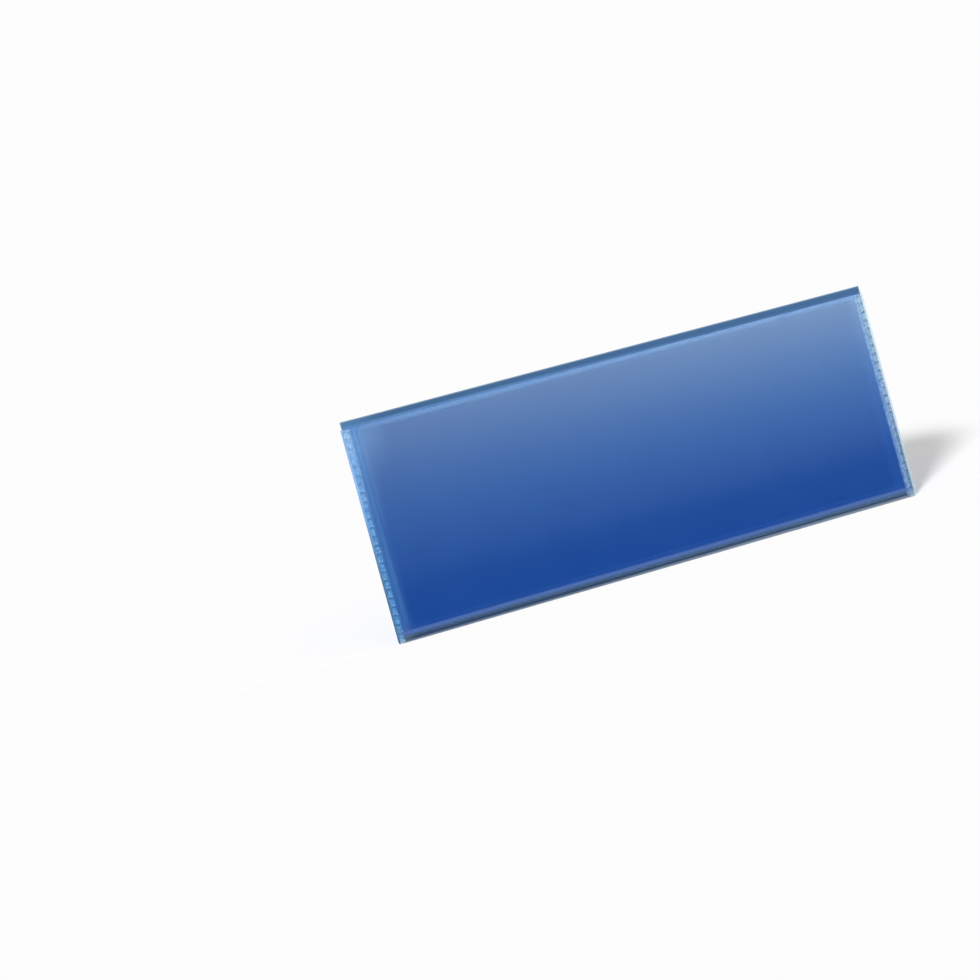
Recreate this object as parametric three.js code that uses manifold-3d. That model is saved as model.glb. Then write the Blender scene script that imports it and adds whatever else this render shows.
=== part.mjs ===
// A magnetic display pocket for landscape inserts of 210 x 74 mm.
// Millimetres, +Z up. The front faces -Y, and the magnets face +Y, towards the steel that they hold on to.
// The origin is on the contact face of the upper magnet strip, at its half height and on the centre line.

import * as THREE from 'three';
import { mergeVertices } from 'three/addons/utils/BufferGeometryUtils.js';
import Module from 'manifold-3d';

const wasm = await Module();
wasm.setup();

// Driving dimensions of the pocket's outline
const pocketWidth = 223;
const pocketHeight = 90;
const cornerRadius = 0.8;
const lipHeight = 3.3;

// The film is a little wider than the blue sheet behind it, and the blue sheet's lower corners are rounder
const filmOverhang = 0.6;
const backLowerRadius = 2;

// Driving dimensions of the two sheets
const backThickness = 0.5;
const filmThickness = 0.3;
const sideSeamWidth = 3;
const bottomSeamHeight = 4;
const basinCornerRadius = 2.5;

// How far each sheet is formed away from the seam, and over what width
const backRise = 0.35;
const backSideRamp = 5.2;
const backBottomRamp = 2.2;
const filmRise = 0.45;
const filmSideRamp = 4.2;
const filmBottomRamp = 2.4;
const rampSteps = 6;

// Weld marks: pads pressed into the film from the front, and dots pressed into the back sheet from behind
const weldPitch = 3.57;
const weldEndMargin = 1.9;
const weldInset = 1.85;
const padWidth = 1.9;
const padLength = 2.9;
const padDepth = 0.12;
const padTaper = 0.2;
const padCornerCut = 0.4;
const dotWidth = 1.6;
const dotLength = 2.1;
const dotDepth = 0.22;

// The bottom is closed by a plain bar seal, a shallow groove in both sheets
const barSealWidth = 2;
const barSealHeight = 2.7;
const barSealDepth = 0.1;

// Driving dimensions of the magnet strips and their tape
const stripLength = 202;
const stripHeight = 15;
const stripThickness = 1.6;
const stripEdgeInset = 6.5;
const stripShift = -2;
const stripEndRadius = 4.5;
const stripSquareCorner = 0.3;
const stripBevel = 0.15;
const tapeThickness = 0.2;
const tapeInset = 0.3;
const tapeOverhang = 0.6;

// Lengths by which a cutter passes the face that it cuts, and the steps in its curves
const cutterOverrun = 1;
const cornerSteps = 5;
const dotSteps = 10;
const dotRings = 4;

// Places worked out from the sizes above
const stripCentreBelowTop = stripEdgeInset + stripHeight / 2;
const outlineCentreZ = stripCentreBelowTop - pocketHeight / 2;
const stripSpacing = pocketHeight - 2 * stripCentreBelowTop;
const backSheetFaceY = -(stripThickness + tapeThickness);
const seamPlaneY = backSheetFaceY - backThickness - backRise;
const filmTop = pocketHeight / 2 - lipHeight;
const filmHeight = pocketHeight - lipHeight;
const weldCentreX = pocketWidth / 2 - weldInset;

// Materials
const bluePlastic = new THREE.MeshStandardMaterial({ color: 0x2f58a3, roughness: 0.45, metalness: 0 });
const clearFilm = new THREE.MeshStandardMaterial({
  color: 0xa8c6ea, roughness: 0.15, metalness: 0, transparent: true, opacity: 0.3,
});
const magnetRubber = new THREE.MeshStandardMaterial({ color: 0x2a1a18, roughness: 0.85, metalness: 0 });
const adhesive = new THREE.MeshStandardMaterial({ color: 0xb7b3c6, roughness: 0.6, metalness: 0 });

// Turns a closed geometry into a solid for cutting and joining
function toSolid(geometry) {
  const bare = geometry.clone();
  bare.deleteAttribute('normal');
  bare.deleteAttribute('uv');
  const merged = mergeVertices(bare);
  const vertProperties = new Float32Array(merged.attributes.position.array);
  const triVerts = new Uint32Array(merged.index.array);
  return new wasm.Manifold(new wasm.Mesh({ numProp: 3, vertProperties, triVerts }));
}

// Turns a solid back into a geometry
function toGeometry(solid) {
  const mesh = solid.getMesh();
  const geometry = new THREE.BufferGeometry();
  geometry.setAttribute('position', new THREE.BufferAttribute(mesh.vertProperties, mesh.numProp));
  geometry.setIndex(new THREE.BufferAttribute(mesh.triVerts, 1));
  geometry.computeVertexNormals();
  return geometry;
}

// Points of a quarter circle of the given radius, from one angle to the next
function quarterArc(centreX, centreZ, radius, fromAngle) {
  const points = [];
  for (let step = 0; step <= cornerSteps; step += 1) {
    const angle = fromAngle + (Math.PI / 2) * (step / cornerSteps);
    points.push([centreX + radius * Math.cos(angle), centreZ + radius * Math.sin(angle)]);
  }
  return points;
}

// A rectangle in X and Z whose lower corners are round, and whose upper corners are square or round
function sheetOutline(halfWidth, bottomZ, topZ, lowerRadius, upperRadius) {
  const lowerLeft = quarterArc(-halfWidth + lowerRadius, bottomZ + lowerRadius, lowerRadius, Math.PI);
  const lowerRight = quarterArc(halfWidth - lowerRadius, bottomZ + lowerRadius, lowerRadius, Math.PI * 1.5);
  if (upperRadius === 0) {
    return [...lowerLeft, ...lowerRight, [halfWidth, topZ], [-halfWidth, topZ]];
  }
  const upperRight = quarterArc(halfWidth - upperRadius, topZ - upperRadius, upperRadius, 0);
  const upperLeft = quarterArc(-halfWidth + upperRadius, topZ - upperRadius, upperRadius, Math.PI / 2);
  return [...lowerLeft, ...lowerRight, ...upperRight, ...upperLeft];
}

// Lofts a solid along Y through convex sections with equal point counts, each an outline in X and Z
function loft(sections) {
  const count = sections[0].outline.length;
  const positions = sections.flatMap(({ outline, y }) => outline.flatMap(([x, z]) => [x, y, z]));
  const last = (sections.length - 1) * count;
  const forward = sections[sections.length - 1].y > sections[0].y;
  const index = [];
  const addTriangle = (a, b, c) => index.push(...(forward ? [a, c, b] : [a, b, c]));
  for (let level = 0; level < sections.length - 1; level += 1) {
    const base = level * count;
    for (let i = 0; i < count; i += 1) {
      const next = (i + 1) % count;
      addTriangle(base + i, base + next, base + count + next);
      addTriangle(base + i, base + count + next, base + count + i);
    }
  }
  for (let i = 1; i < count - 1; i += 1) {
    addTriangle(0, i + 1, i);
    addTriangle(last, last + i, last + i + 1);
  }
  const geometry = new THREE.BufferGeometry();
  geometry.setAttribute('position', new THREE.Float32BufferAttribute(positions, 3));
  geometry.setIndex(index);
  return geometry;
}

// The sections of a shallow basin that starts on the seam plane at the seam's inner edge
function basinSections({ side, offset, rise, sideRamp, bottomRamp, topZ }) {
  const sections = [];
  for (let step = 0; step <= rampSteps; step += 1) {
    const share = step / rampSteps;
    const height = rise * (1 - Math.cos(Math.PI * share)) / 2;
    const halfWidth = pocketWidth / 2 - sideSeamWidth - sideRamp * share;
    const bottomZ = -pocketHeight / 2 + bottomSeamHeight + bottomRamp * share;
    const outline = sheetOutline(halfWidth, bottomZ, topZ, basinCornerRadius, 0);
    sections.push({ outline, y: side * (offset + height) });
  }
  return sections;
}

// A sheet with a flat seam margin on three sides and a middle that is formed away from the seam plane.
// side is +1 for the sheet behind the seam plane and -1 for the one in front of it.
function formedSheet({ side, thickness, rise, sideRamp, bottomRamp, topZ, edge }) {
  const outline = sheetOutline(edge.halfWidth, -pocketHeight / 2, topZ, edge.lowerRadius, edge.upperRadius);
  const blank = toSolid(loft([{ outline, y: 0 }, { outline, y: side * thickness }]));
  const form = { side, rise, sideRamp, bottomRamp };
  const outer = basinSections({ ...form, offset: thickness, topZ });
  const outerStart = { outline: outer[0].outline, y: 0 };
  const inner = basinSections({ ...form, offset: 0, topZ: topZ + cutterOverrun });
  const innerStart = { outline: inner[0].outline, y: -side * cutterOverrun };
  return blank.add(toSolid(loft([outerStart, ...outer]))).subtract(toSolid(loft([innerStart, ...inner])));
}

// Heights of the weld marks, spread evenly over the film's height
function weldHeights() {
  const span = filmHeight - 2 * weldEndMargin;
  const gaps = Math.floor(span / weldPitch);
  const lowest = -pocketHeight / 2 + (filmHeight - gaps * weldPitch) / 2;
  return Array.from({ length: gaps + 1 }, (_, i) => lowest + i * weldPitch);
}

// One pressed pad: a tapered cutter that enters the film's front face, whose depth is along Y
function padCutter() {
  const outlineInside = (inset) => {
    const halfWidth = padWidth / 2 - inset;
    const halfLength = padLength / 2 - inset;
    const cut = padCornerCut;
    return [
      [-halfWidth + cut, -halfLength], [halfWidth - cut, -halfLength],
      [halfWidth, -halfLength + cut], [halfWidth, halfLength - cut],
      [halfWidth - cut, halfLength], [-halfWidth + cut, halfLength],
      [-halfWidth, halfLength - cut], [-halfWidth, -halfLength + cut],
    ];
  };
  return loft([
    { outline: outlineInside(0), y: -cutterOverrun },
    { outline: outlineInside(0), y: 0 },
    { outline: outlineInside(padTaper), y: padDepth },
  ]);
}

// One pressed dot: a flat lens whose middle lies on the face that it is pressed into
function dotCutter() {
  const lens = new THREE.SphereGeometry(1, dotSteps, dotRings);
  lens.scale(dotWidth / 2, dotDepth, dotLength / 2);
  return lens;
}

// Cuts one copy of a cutter at every weld mark of both side seams
function pressWelds(sheet, cutter, faceY) {
  const tool = toSolid(cutter);
  let marks = null;
  for (const x of [-weldCentreX, weldCentreX]) {
    for (const z of weldHeights()) {
      const mark = tool.translate([x, faceY, z]);
      marks = marks === null ? mark : marks.add(mark);
    }
  }
  return sheet.subtract(marks);
}

// Cuts the bar seal's groove along the bottom, between the side seams, into the face at faceY
function pressBarSeal(sheet, faceY) {
  const length = pocketWidth - 2 * sideSeamWidth;
  const section = new THREE.Shape();
  section.absellipse(0, 0, barSealWidth / 2, barSealDepth, 0, Math.PI * 2);
  const groove = new THREE.ExtrudeGeometry(section, {
    depth: length, bevelEnabled: false, curveSegments: cornerSteps,
  });
  groove.rotateX(Math.PI / 2);
  groove.rotateZ(Math.PI / 2);
  groove.computeBoundingBox();
  const middle = groove.boundingBox.getCenter(new THREE.Vector3());
  const centreZ = -pocketHeight / 2 + barSealHeight;
  groove.translate(-middle.x, faceY - middle.y, centreZ - middle.z);
  return sheet.subtract(toSolid(groove));
}

function makeBackSheet() {
  const sheet = formedSheet({
    side: 1, thickness: backThickness, rise: backRise, sideRamp: backSideRamp,
    bottomRamp: backBottomRamp, topZ: pocketHeight / 2,
    edge: {
      halfWidth: pocketWidth / 2 - filmOverhang, lowerRadius: backLowerRadius, upperRadius: cornerRadius,
    },
  });
  const withDots = pressWelds(sheet, dotCutter(), backThickness);
  return toGeometry(pressBarSeal(withDots, backThickness));
}

function makeFrontFilm() {
  const film = formedSheet({
    side: -1, thickness: filmThickness, rise: filmRise, sideRamp: filmSideRamp,
    bottomRamp: filmBottomRamp, topZ: filmTop,
    edge: { halfWidth: pocketWidth / 2, lowerRadius: cornerRadius, upperRadius: 0 },
  });
  const withPads = pressWelds(film, padCutter(), -filmThickness);
  return toGeometry(pressBarSeal(withPads, -filmThickness));
}

// A strip's outline, round at its left end and square at its right one, seen from the front
function stripShape(left, right, halfHeight, leftRadius, rightRadius) {
  const shape = new THREE.Shape();
  shape.moveTo(left + leftRadius, -halfHeight);
  shape.lineTo(right - rightRadius, -halfHeight);
  shape.absarc(right - rightRadius, -halfHeight + rightRadius, rightRadius, -Math.PI / 2, 0);
  shape.absarc(right - rightRadius, halfHeight - rightRadius, rightRadius, 0, Math.PI / 2);
  shape.absarc(left + leftRadius, halfHeight - leftRadius, leftRadius, Math.PI / 2, Math.PI);
  shape.absarc(left + leftRadius, -halfHeight + leftRadius, leftRadius, Math.PI, Math.PI * 1.5);
  return shape;
}

// Extrudes a shape in X and Z from the plane Y = 0 backwards to Y = -thickness
function extrudeAlongY(shape, thickness, bevel) {
  const geometry = new THREE.ExtrudeGeometry(shape, {
    depth: thickness - 2 * bevel, curveSegments: cornerSteps, bevelEnabled: bevel > 0,
    bevelThickness: bevel, bevelSize: bevel, bevelOffset: -bevel, bevelSegments: 1,
  });
  geometry.rotateX(Math.PI / 2);
  geometry.translate(0, -bevel, 0);
  return geometry;
}

function makeMagnetStrip() {
  const half = stripLength / 2;
  const shape = stripShape(-half, half, stripHeight / 2, stripEndRadius, stripSquareCorner);
  return extrudeAlongY(shape, stripThickness, stripBevel);
}

function makeAdhesiveTape() {
  const left = -stripLength / 2 + tapeInset;
  const right = stripLength / 2 + tapeOverhang;
  const halfHeight = stripHeight / 2 - tapeInset;
  const shape = stripShape(left, right, halfHeight, stripEndRadius - tapeInset, stripSquareCorner);
  return extrudeAlongY(shape, tapeThickness, 0);
}

function addPiece(parent, name, geometry, material, place) {
  const mesh = new THREE.Mesh(geometry, material);
  mesh.name = name;
  mesh.position.set(...place);
  parent.add(mesh);
}

const pocket = new THREE.Group();

const sheets = new THREE.Group();
sheets.position.set(0, seamPlaneY, outlineCentreZ);
addPiece(sheets, 'back_sheet', makeBackSheet(), bluePlastic, [0, 0, 0]);
addPiece(sheets, 'front_film', makeFrontFilm(), clearFilm, [0, 0, 0]);
pocket.add(sheets);

for (const [level, z] of [['upper', 0], ['lower', -stripSpacing]]) {
  addPiece(pocket, `${level}_magnet_strip`, makeMagnetStrip(), magnetRubber, [stripShift, 0, z]);
  addPiece(pocket, `${level}_adhesive_tape`, makeAdhesiveTape(), adhesive, [stripShift, -stripThickness, z]);
}

export default pocket;
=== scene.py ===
# %% [markdown]
# # A magnetic display pocket
# This is a label pocket for steel shelves. A clear film is welded to a blue plastic sheet along its two
# sides and its bottom, and it is left open at the top, so that a paper insert slides in. Two magnet
# strips are glued behind. The imported model is a fixed frame here: the looks go round it, and nothing in
# it is moved. We load it first, and read the sizes of its parts from it.

# %% Load the fixed frame
import math

import bmesh
import bpy
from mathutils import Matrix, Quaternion, Vector


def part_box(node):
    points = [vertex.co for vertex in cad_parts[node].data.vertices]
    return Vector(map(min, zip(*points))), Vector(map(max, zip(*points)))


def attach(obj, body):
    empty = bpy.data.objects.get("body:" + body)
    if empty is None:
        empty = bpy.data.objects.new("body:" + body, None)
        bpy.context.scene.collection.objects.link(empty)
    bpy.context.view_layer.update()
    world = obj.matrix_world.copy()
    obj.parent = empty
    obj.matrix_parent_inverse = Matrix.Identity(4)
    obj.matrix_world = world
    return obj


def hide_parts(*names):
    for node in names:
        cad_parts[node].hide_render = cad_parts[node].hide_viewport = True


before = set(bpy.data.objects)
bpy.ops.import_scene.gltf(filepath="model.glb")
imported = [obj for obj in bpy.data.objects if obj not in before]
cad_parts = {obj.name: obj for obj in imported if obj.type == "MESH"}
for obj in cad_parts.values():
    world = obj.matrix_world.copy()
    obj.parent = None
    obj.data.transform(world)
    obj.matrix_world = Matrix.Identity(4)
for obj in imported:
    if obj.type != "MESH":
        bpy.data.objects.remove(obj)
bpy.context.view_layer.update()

MM = 0.001
print("nodes:", ", ".join(sorted(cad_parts)))

# %% [markdown]
# ## Small helpers for working by hand
# An operator acts on all that is selected. So each step starts by selecting nothing, and then picks
# faces, edges or points by where they are. These helpers do that, as a modeller does with the mouse.

# %% Helpers for selecting and for modifiers
smooth_angle = math.radians(35)
bevel_angle = math.radians(50)


def make_active(piece):
    """Selects one object and nothing else."""
    bpy.ops.object.select_all(action="DESELECT")
    piece.select_set(True)
    bpy.context.view_layer.objects.active = piece


def choose(piece, kind, test):
    """In edit mode, selects each FACE, EDGE or VERT that passes the test, and nothing else."""
    bpy.ops.mesh.select_mode(type=kind)
    bpy.ops.mesh.select_all(action="DESELECT")
    shape = bmesh.from_edit_mesh(piece.data)
    elements = {"FACE": shape.faces, "EDGE": shape.edges, "VERT": shape.verts}[kind]
    found = [element for element in elements if test(element)]
    for element in found:
        element.select_set(True)
    shape.select_flush_mode()
    bmesh.update_edit_mesh(piece.data)
    return len(found)


def apply_modifier(piece, name, kind, **settings):
    """Adds a modifier with these settings and applies it."""
    modifier = piece.modifiers.new(name, kind)
    for key, value in settings.items():
        setattr(modifier, key, value)
    make_active(piece)
    bpy.ops.object.modifier_apply(modifier=name)


def soften_edges(piece, width, segments=2):
    """Rounds the sharp edges, as a cut or moulded edge is never quite sharp, and shades the rest smooth.
    Weighting the normals by area keeps a big flat face flat, where a plain average would make it mirror
    like a lens."""
    apply_modifier(
        piece, "edge rounding", "BEVEL", width=width, segments=segments,
        limit_method="ANGLE", angle_limit=bevel_angle)
    make_active(piece)
    bpy.ops.object.shade_smooth_by_angle(angle=smooth_angle)
    apply_modifier(piece, "weighted normals", "WEIGHTED_NORMAL", keep_sharp=True)


def upright_plane(name, centre, width, height):
    """A plane that stands upright and faces the front, with its place and size in its mesh."""
    bpy.ops.mesh.primitive_plane_add(size=1, location=centre, rotation=(math.radians(90), 0, 0))
    plane = bpy.context.object
    plane.name = name
    plane.scale = (width, height, 1)
    bpy.ops.object.transform_apply(location=True, rotation=True, scale=True)
    return plane


def report_piece(piece):
    """Prints a piece's size and how many faces it has."""
    size = [round(side / MM, 2) for side in piece.dimensions]
    print(f"{piece.name}: {size} mm, {len(piece.data.polygons)} faces")


bpy.ops.object.select_all(action="DESELECT")
print("helpers are ready")

# %% [markdown]
# ## Sizes of the two sheets
# The outlines come from the frame. The seam is a flat margin, 3 mm wide at the sides and 4 mm at the
# bottom. Inside it the blue sheet is pressed back by 0.35 mm and the film is pressed forward by 0.45 mm,
# over soft ramps. That leaves the slot for the insert. The film is cut 0.6 mm wider than the blue sheet
# at each side, which gives the pocket its light outline, and the blue sheet's lower corners are rounder.

# %% Name the sizes of the sheets
back_low, back_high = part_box("back_sheet")
film_low, film_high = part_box("front_film")
half_width = film_high.x
bottom_z = back_low.z
seam_plane_y = back_low.y
film_overhang = half_width - back_high.x

side_seam = 3.0 * MM
bottom_seam = 4.0 * MM
back_thickness = 0.5 * MM
film_thickness = 0.3 * MM
weld_clearance = 0.01 * MM
film_corner = 0.8 * MM
back_corner = 2.0 * MM
basin_corner = 2.5 * MM
back_ramps = {"side_ramp": 5.2 * MM, "bottom_ramp": 2.2 * MM}
film_ramps = {"side_ramp": 4.2 * MM, "bottom_ramp": 2.4 * MM}

film_rim_y = seam_plane_y - film_thickness
back_rim_y = seam_plane_y + back_thickness
back_middle_y = back_high.y - back_thickness
slot_width = back_middle_y - film_low.y - film_thickness
print("slot for the insert in mm:", round(slot_width / MM, 2))
print("the film sticks out at each side by mm:", round(film_overhang / MM, 2))

# %% [markdown]
# ## Forming a sheet
# The real sheets are heated and pressed in a tool, so each one is a shallow tray with a flat rim. A tray
# can be made by pushing a flat grid about, but its corners come out ragged. Here it grows outwards from
# the flat middle: the middle is a plane with round corners, its border is extruded and widened a little
# at each step, and each step follows a cosine, so that the ramp starts and ends softly. The last step is
# the flat rim. The tray is grown past the top and then cut off there, which leaves it open, as the real
# pocket is. Solidify gives it its thickness.

# %% Grow a tray from its middle
corner_segments = 6
ramp_steps = 10
past_top = 12 * MM
within_seam = 0.98


def widen_border(y_step, x_factor, z_factor, centre):
    """Extrudes the selected border, and moves and widens the new edge."""
    bpy.ops.mesh.extrude_edges_move(TRANSFORM_OT_translate={"value": (0, y_step, 0)})
    bpy.ops.transform.resize(value=(x_factor, 1, z_factor), center_override=centre)


def form_sheet(name, edge_x, corner, rim_y, middle_y, side_ramp, bottom_ramp, top_z, thickness):
    """A sheet with a flat rim at rim_y and a middle at middle_y, both measured on its front face."""
    middle_half = half_width - side_seam - side_ramp
    middle_bottom = bottom_z + bottom_seam + bottom_ramp
    middle_top = top_z + past_top
    centre_z = (middle_bottom + middle_top) / 2
    middle_half_height = (middle_top - middle_bottom) / 2
    sheet = upright_plane(name, (0, middle_y, centre_z), 2 * middle_half, 2 * middle_half_height)
    bpy.ops.object.mode_set(mode="EDIT")
    choose(sheet, "VERT", lambda point: True)
    bpy.ops.mesh.bevel(offset=basin_corner, segments=corner_segments, affect="VERTICES")
    choose(sheet, "EDGE", lambda edge: edge.is_boundary)
    centre = (0, 0, centre_z)
    reach, height, level = middle_half, middle_half_height, middle_y
    for step in range(1, ramp_steps + 1):
        share = step / ramp_steps
        next_reach = middle_half + side_ramp * share
        next_height = middle_half_height + bottom_ramp * share
        next_level = rim_y + (middle_y - rim_y) * (1 + math.cos(math.pi * share)) / 2
        widen_border(next_level - level, next_reach / reach, next_height / height, centre)
        reach, height, level = next_reach, next_height, next_level
    rim_height = height + bottom_seam
    widen_border(0, edge_x / reach, rim_height / height, centre)

    shrink = corner / basin_corner
    for side in (-1, 1):
        for corner_z in (centre_z - rim_height, centre_z + rim_height):
            choose(sheet, "VERT", lambda point: (
                half_width - side_seam * within_seam < point.co.x * side
                and abs(point.co.z - corner_z) < bottom_seam * within_seam))
            bpy.ops.transform.resize(
                value=(shrink, 1, shrink), center_override=(side * edge_x, 0, corner_z))
    bpy.ops.mesh.select_all(action="SELECT")
    bpy.ops.mesh.bisect(plane_co=(0, 0, top_z), plane_no=(0, 0, 1), clear_outer=True)
    bpy.ops.object.mode_set(mode="OBJECT")
    apply_modifier(sheet, "thickness", "SOLIDIFY", thickness=thickness, offset=-1)
    report_piece(sheet)
    return sheet


back_sheet = form_sheet(
    "blue_back_sheet", edge_x=back_high.x, corner=back_corner, rim_y=seam_plane_y,
    middle_y=back_middle_y, top_z=back_high.z, thickness=back_thickness, **back_ramps)
front_film = form_sheet(
    "clear_front_film", edge_x=film_high.x, corner=film_corner, rim_y=film_rim_y,
    middle_y=film_low.y, top_z=film_high.z, thickness=film_thickness - weld_clearance, **film_ramps)

# %% [markdown]
# ## Pressing the weld marks
# A row of small teeth on the welding bar melts the two sheets together, every 3.57 mm along each side. In
# front each tooth leaves a long pad with round corners, and behind it leaves a round dimple. The marks
# could be cut with a boolean, but that leaves long thin faces. Here the rim is joined into one face and
# cut into cells along straight lines. Each cell gets points along its border, which are drawn in until
# the cell is round. Then it is inset and pressed in a few times, so that its walls slope as a tooth's do.

# %% Cut the rim into cells and press the marks
weld_pitch = 3.57 * MM
weld_end_margin = 1.9 * MM
weld_inset = 1.85 * MM
weld_x = half_width - weld_inset
film_height = film_high.z - bottom_z
weld_gaps = math.floor((film_height - 2 * weld_end_margin) / weld_pitch)
lowest_weld_z = bottom_z + (film_height - weld_gaps * weld_pitch) / 2
weld_heights = [lowest_weld_z + weld_pitch * i for i in range(weld_gaps + 1)]
cell_border = 0.1 * MM
touching = 0.01 * MM
flat_enough = 0.999

pad_width = 1.9 * MM
pad_length = 2.9 * MM
pad_squareness = 5
dimple_width = 1.6 * MM
dimple_length = 2.1 * MM
dimple_squareness = 2.2

# Each press is an inset and a depth, from the outside inwards
pad_presses = [(0.08 * MM, 0.05 * MM), (0.12 * MM, 0.05 * MM), (0.2 * MM, 0.02 * MM)]
dimple_presses = [(0.1 * MM, 0.09 * MM), (0.18 * MM, 0.08 * MM), (0.22 * MM, 0.04 * MM)]


def offset_from_weld(point):
    """How far a point lies from the nearest weld mark's middle: outwards and up."""
    index = min(weld_gaps, max(0, round((point.z - lowest_weld_z) / weld_pitch)))
    return abs(point.x) - weld_x, point.z - lowest_weld_z - index * weld_pitch


def on_rim(face, rim_y, facing):
    """True for a flat face of the rim on the side that faces front (-1) or back (+1)."""
    is_flat = face.normal.y * facing > flat_enough
    return is_flat and abs(face.calc_center_median().y - rim_y) < touching


def cut_rim(sheet, rim_y, facing, place, normal, where=lambda centre: True):
    """Cuts the rim's faces along a plane, where the test on a face's centre says so."""
    choose(sheet, "FACE", lambda face: (
        on_rim(face, rim_y, facing) and where(face.calc_center_median())))
    bpy.ops.mesh.bisect(plane_co=place, plane_no=normal)


def round_cells(sheet, rim_y, facing, half_across, half_up, squareness):
    """Adds points along each chosen cell's border and draws them in to a superellipse. A squareness of 2
    gives an ellipse, and more gives a squarer shape."""
    bpy.ops.mesh.subdivide(number_cuts=3)
    shares = (-1, -0.5, 0, 0.5, 1)
    border = [(u, v) for u in shares for v in shares if max(abs(u), abs(v)) == 1 and u * v != 0]
    for u, v in border:
        out, up = u * half_across, v * half_up
        draw = (abs(u) ** squareness + abs(v) ** squareness) ** (-1 / squareness) - 1
        for side in (-1, 1):
            choose(sheet, "VERT", lambda point: (
                point.co.x * side > 0 and abs(point.co.y - rim_y) < touching
                and math.dist(offset_from_weld(point.co), (out, up)) < touching))
            bpy.ops.transform.translate(value=(side * out * draw, 0, up * draw))

    def inside(point):
        out, up = offset_from_weld(point.co)
        return abs(out) < half_across + touching and abs(up) < half_up + touching

    choose(sheet, "FACE", lambda face: (
        on_rim(face, rim_y, facing) and all(inside(point) for point in face.verts)))
    bpy.ops.mesh.dissolve_faces()


def press_marks(sheet, rim_y, facing, width, length, squareness, presses):
    """Presses one mark at each weld height on both sides."""
    make_active(sheet)
    bpy.ops.object.mode_set(mode="EDIT")
    choose(sheet, "FACE", lambda face: on_rim(face, rim_y, facing))
    bpy.ops.mesh.dissolve_faces()
    reach, rise = width / 2 + cell_border, length / 2 + cell_border
    for side in (-1, 1):
        for edge in (-1, 1):
            cut_rim(sheet, rim_y, facing, (side * weld_x + edge * reach, 0, 0), (1, 0, 0))
    for height in weld_heights:
        for edge in (-1, 1):
            cut_rim(
                sheet, rim_y, facing, (0, 0, height + edge * rise), (0, 0, 1),
                where=lambda centre: abs(abs(centre.x) - weld_x) < reach)

    def is_cell(face):
        out, up = offset_from_weld(face.calc_center_median())
        return on_rim(face, rim_y, facing) and abs(out) < reach and abs(up) < rise

    cells = choose(sheet, "FACE", is_cell)
    bpy.ops.mesh.inset(thickness=cell_border, use_individual=True)
    round_cells(sheet, rim_y, facing, width / 2, length / 2, squareness)
    for inset, depth in presses:
        bpy.ops.mesh.inset(thickness=inset, depth=-depth, use_individual=True)
    bpy.ops.object.mode_set(mode="OBJECT")
    return cells


pads = press_marks(
    front_film, film_rim_y, -1, pad_width, pad_length, pad_squareness, pad_presses)
dimples = press_marks(
    back_sheet, back_rim_y, 1, dimple_width, dimple_length, dimple_squareness, dimple_presses)
print(pads, "pads in front and", dimples, "dimples behind")

# %% [markdown]
# ## The bar seal along the bottom
# The bottom is closed by a plain hot bar and not by teeth, so it shows one long shallow groove on each
# side. The rim's face is cut at the groove's ends and edges, and the strip between is inset and pressed,
# twice, so that its section is round at the bottom.

# %% Press the bar seal
bar_height = 2.7 * MM
bar_width = 2.0 * MM
bar_reach = half_width - side_seam
bar_presses = [(0.5 * MM, 0.05 * MM), (0.35 * MM, 0.04 * MM)]


def press_bar(sheet, rim_y, facing):
    """Presses the groove of the bar seal into the rim's bottom."""
    make_active(sheet)
    bpy.ops.object.mode_set(mode="EDIT")
    bar_z = bottom_z + bar_height
    for side in (-1, 1):
        cut_rim(
            sheet, rim_y, facing, (side * bar_reach, 0, 0), (1, 0, 0),
            where=lambda centre: abs(centre.x) < bar_reach)
    for edge in (-1, 1):
        cut_rim(
            sheet, rim_y, facing, (0, 0, bar_z + edge * bar_width / 2), (0, 0, 1),
            where=lambda centre: abs(centre.x) < bar_reach / 2)
    bars = choose(sheet, "FACE", lambda face: (
        on_rim(face, rim_y, facing)
        and math.dist(face.calc_center_median().xz, (0, bar_z)) < bar_width / 2))
    for inset, depth in bar_presses:
        bpy.ops.mesh.inset(thickness=inset, depth=-depth)
    bpy.ops.object.mode_set(mode="OBJECT")
    return bars


print(press_bar(front_film, film_rim_y, -1), "groove in the film")
print(press_bar(back_sheet, back_rim_y, 1), "groove in the back sheet")

# %% [markdown]
# ## The magnet strips and their tape
# Each strip is cut from a long extruded band of rubber filled with magnetic powder. One end has round
# corners and the other is cut off square. A double-sided tape holds it on the sheet, and sticks out a
# little past the square end. A box of the right size is the start of both. Its upright corners are
# bevelled, and then all its edges.

# %% Model the strips and the tapes
round_end_corner = 4.5 * MM
square_end_corner = 0.3 * MM
tape_inset = 0.3 * MM
rubber_edge = 0.18 * MM
tape_edge = 0.03 * MM


def model_strip(name, node, round_corner, edge_width):
    """A flat band in a node's box, with round corners at its left end, seen from the front."""
    low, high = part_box(node)
    bpy.ops.mesh.primitive_cube_add(size=1, location=(low + high) / 2)
    strip = bpy.context.object
    strip.name = name
    strip.scale = high - low
    bpy.ops.object.transform_apply(location=True, rotation=True, scale=True)
    bpy.ops.object.mode_set(mode="EDIT")
    for end_x, radius, segments in ((low.x, round_corner, 10), (high.x, square_end_corner, 3)):
        choose(strip, "EDGE", lambda edge: (
            abs((edge.verts[0].co - edge.verts[1].co).y) > touching / 2
            and all(abs(point.co.x - end_x) < touching for point in edge.verts)))
        bpy.ops.mesh.bevel(offset=radius, segments=segments, affect="EDGES")
    bpy.ops.object.mode_set(mode="OBJECT")
    soften_edges(strip, edge_width, segments=3)
    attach(strip, "root")
    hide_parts(node)
    report_piece(strip)
    return strip


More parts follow.
